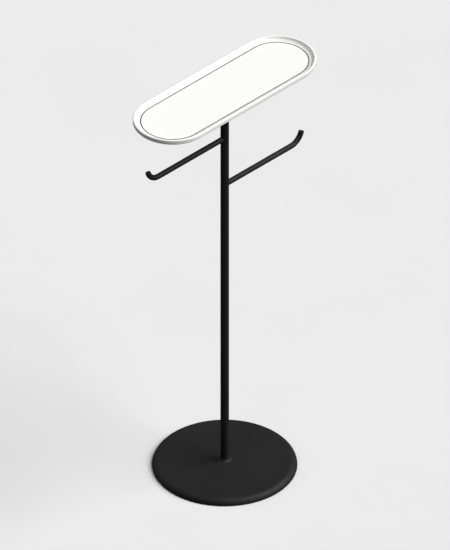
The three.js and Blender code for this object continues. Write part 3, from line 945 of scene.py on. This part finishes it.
def countersunk_screw(name, thread, head, socket, low, top, x=0.0, y=0.0):
    """The turned screw, threaded below its cone. Rings inside the head's socket are drawn to a
    hexagon: each point's radius is scaled by the hexagon's radius over its corner's."""
    shank, corner = thread["radius"], socket / np.sqrt(3)
    cone = top - (head - shank)
    socket_floor = top - socket / 2
    profile = with_rows(filleted([
        (0, low, 0),
        (shank - SMALL_BREAK, low, 0),
        (shank, low + SMALL_BREAK, 0),
        (shank, cone, 0),
        (head, top, TINY_BREAK),
        (corner, top, 0),
        (corner, socket_floor, 0),
        (0, socket_floor - corner / 4, 0),
    ], closed=False, steps=3), thread["pitch"] / ROWS_PER_TURN, closed=False)
    grid = threaded(turned(profile, columns=48), thread, low + SMALL_BREAK, cone)
    px, py, z = np.moveaxis(grid, -1, 0)
    broached = (np.hypot(px, py) <= corner + SAME_LEVEL) & (z > socket_floor - corner / 3)
    scale = np.where(broached, hexagon(np.arctan2(py, px), socket) / corner, 1)
    grid = np.stack([px * scale + x, py * scale + y, z], axis=-1)
    return surface(name, grid, profile, False, 50)


low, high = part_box("flange_bolt")
screws = {
    "flange_bolt": countersunk_screw(
        "flange_screw_m6", M6, FLANGE_SCREW_HEAD, FLANGE_SCREW_SOCKET, low.z, high.z
    )
}
for screw, place in SCREW_PLACES.items():
    low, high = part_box(screw)
    screws[screw] = countersunk_screw(
        f"{screw}_m4", M4, TRAY_SCREW_HEAD, TRAY_SCREW_SOCKET, low.z, high.z, place.x, place.y
    )
for cad_node, piece in screws.items():
    piece.data.materials.append(ZINC)
    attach(piece, "root")
    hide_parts(cad_node)

# ----------------------------------------------------------------------------------------
# Tray liner. White leathercloth on a thin stiff card, its cut edge rounded over and coloured
# black as a painted shadow line, laid loose in the sunk bed, where it covers the screws.

LINER_GAP = 0.0012
LINER_EDGE = 0.0008
LINER_RADIUS = BED_RADIUS - LINER_GAP


def leathercloth():
    """White leathercloth: pebbled grain about 1.3 mm across with fine wrinkles, grain valleys
    a little greyer than the tops, a slight soiling that drifts over the panel, and black on
    the rounded edge as a painted shadow line, which ends in a slightly wavering border."""
    material, tree, shader = finish_material("white_leathercloth")
    place = node(tree, "ShaderNodeTexCoord", {}).outputs["Object"]
    edge = node(tree, "ShaderNodeAttribute", {}, attribute_name="edge").outputs["Fac"]
    wander = node(tree, "ShaderNodeTexNoise", {"Vector": place, "Scale": 300.0, "Detail": 2.0})
    bent = node(tree, "ShaderNodeVectorMath", {0: wander.outputs["Color"]}, operation="SCALE")
    bent.inputs["Scale"].default_value = 0.0012
    moved = node(tree, "ShaderNodeVectorMath", {0: place, 1: bent.outputs[0]}, operation="ADD")
    cells = {"Vector": moved.outputs[0], "Scale": 780.0}
    creases = node(tree, "ShaderNodeTexVoronoi", cells, feature="DISTANCE_TO_EDGE")
    pebble = ranged(tree, creases.outputs["Distance"], 0.0, 0.22)
    soiling = ranged(tree, noise(tree, place, 11, 4), 0.4, 0.75, 0, 0.3)
    top = blended(tree, soiling, (0.92, 0.92, 0.915, 1), (0.88, 0.875, 0.86, 1))
    grain = blended(tree, ranged(tree, pebble, 0, 0.5), (0.8, 0.795, 0.78, 1), top)
    # Painted shadow: the liner's rounded edge goes black with a wavering border, widening the dark line
    # in the gap.
    waver = ranged(tree, noise(tree, place, 70, 2), 0.3, 0.7, -0.12, 0.12)
    painted_shadow_edge = ranged(tree, combined(tree, "ADD", edge, waver), 0.35, 0.5)
    tree.links.new(blended(tree, painted_shadow_edge, grain, (0.016, 0.016, 0.016, 1)), shader.inputs["Base Color"])
    tree.links.new(ranged(tree, pebble, 0, 1, 0.78, 0.62), shader.inputs["Roughness"])
    wrinkles = raised_by(tree, noise(tree, place, 1900, 2), 0.00002)
    tree.links.new(raised_by(tree, pebble, 0.00005, wrinkles), shader.inputs["Normal"])
    shader.inputs["Specular IOR Level"].default_value = 0.3
    return material


LINER = leathercloth()
liner_profile = filleted([
    (0, BED, 0),
    (LINER_RADIUS, BED, TINY_BREAK),
    (LINER_RADIUS, LINER_TOP, LINER_EDGE),
    (0, LINER_TOP, 0),
], closed=False)
liner = surface("liner", round_ended(liner_profile), liner_profile, False)
liner.data.materials.append(LINER)
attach(liner, "root")
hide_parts("tray_liner")

# ----------------------------------------------------------------------------------------
# Studio. A pale floor, one broad soft light to the right of the camera, a weaker one behind
# and to the left, and an even pale surround. The camera looks down on the stand's corner at
# equal angles to all three axes, with no perspective.

scene = bpy.context.scene
scene.view_settings.view_transform = "Standard"

FLOOR_RADIUS = 5.0
floor_profile = np.array([(0.0, 0.0, 0.0), (FLOOR_RADIUS, 0.0, 0.0)])[::-1]
floor = surface("studio_floor", turned(floor_profile, columns=96), floor_profile, False)


def studio_paper():
    """Pale paper: a faint mottle with a soft tooth."""
    material, tree, shader = finish_material("studio_paper")
    place = node(tree, "ShaderNodeTexCoord", {}).outputs["Object"]
    mottle = ranged(tree, noise(tree, place, 3, 3), 0.3, 0.7)
    colour = blended(tree, mottle, (0.74, 0.74, 0.74, 1), (0.76, 0.76, 0.76, 1))
    tree.links.new(colour, shader.inputs["Base Color"])
    tree.links.new(raised_by(tree, noise(tree, place, 900, 1), 0.00002), shader.inputs["Normal"])
    shader.inputs["Roughness"].default_value = 0.95
    shader.inputs["Specular IOR Level"].default_value = 0.1
    return material


floor.data.materials.append(studio_paper())
floor.visible_diffuse = False
floor.visible_glossy = False

BACKDROP = 0.74
AMBIENT = 0.13
surround = bpy.data.worlds.new("surround")
surround.use_nodes = True
sky = surround.node_tree
seen = node(sky, "ShaderNodeBackground", {"Color": (1, 1, 1, 1), "Strength": BACKDROP})
lighting = node(sky, "ShaderNodeBackground", {"Color": (1, 1, 1, 1), "Strength": AMBIENT})
straight_on = node(sky, "ShaderNodeLightPath", {}).outputs["Is Camera Ray"]
both = node(sky, "ShaderNodeMixShader", {0: straight_on, 1: lighting.outputs[0], 2: seen.outputs[0]})
sky.links.new(both.outputs[0], sky.nodes["World Output"].inputs["Surface"])
scene.world = surround


def soft_light(name, azimuth, elevation, spread, strength):
    """Even light from a round patch of the surround. Azimuth 0 is on the -Y side, 90 on +X."""
    turn, tilt = np.radians(azimuth), np.radians(elevation)
    towards = Vector((np.sin(turn) * np.cos(tilt), -np.cos(turn) * np.cos(tilt), np.sin(tilt)))
    lamp = bpy.data.lights.new(name, "SUN")
    lamp.angle = np.radians(spread)
    lamp.energy = strength
    light = bpy.data.objects.new(name, lamp)
    light.rotation_euler = towards.to_track_quat("Z", "Y").to_euler()
    scene.collection.objects.link(light)


soft_light("key_light", azimuth=38, elevation=46, spread=50, strength=3.95)
soft_light("back_light", azimuth=205, elevation=35, spread=60, strength=0.45)

VIEW_HEIGHT = 1.21
VIEW_CENTRE = Vector((0.00047, -0.00047, 0.5108))
CAMERA_DISTANCE = 4.0
VIEW_DEPTH = 30
towards_camera = Vector((-1, -1, 1)).normalized()
camera_data = bpy.data.cameras.new("camera")
camera_data.type = "ORTHO"
camera_data.ortho_scale = VIEW_HEIGHT
camera_data.clip_end = VIEW_DEPTH
camera = bpy.data.objects.new("camera", camera_data)
camera.location = VIEW_CENTRE + towards_camera * CAMERA_DISTANCE
camera.rotation_euler = towards_camera.to_track_quat("Z", "Y").to_euler()
scene.collection.objects.link(camera)
scene.camera = camera

bpy.context.view_layer.update()
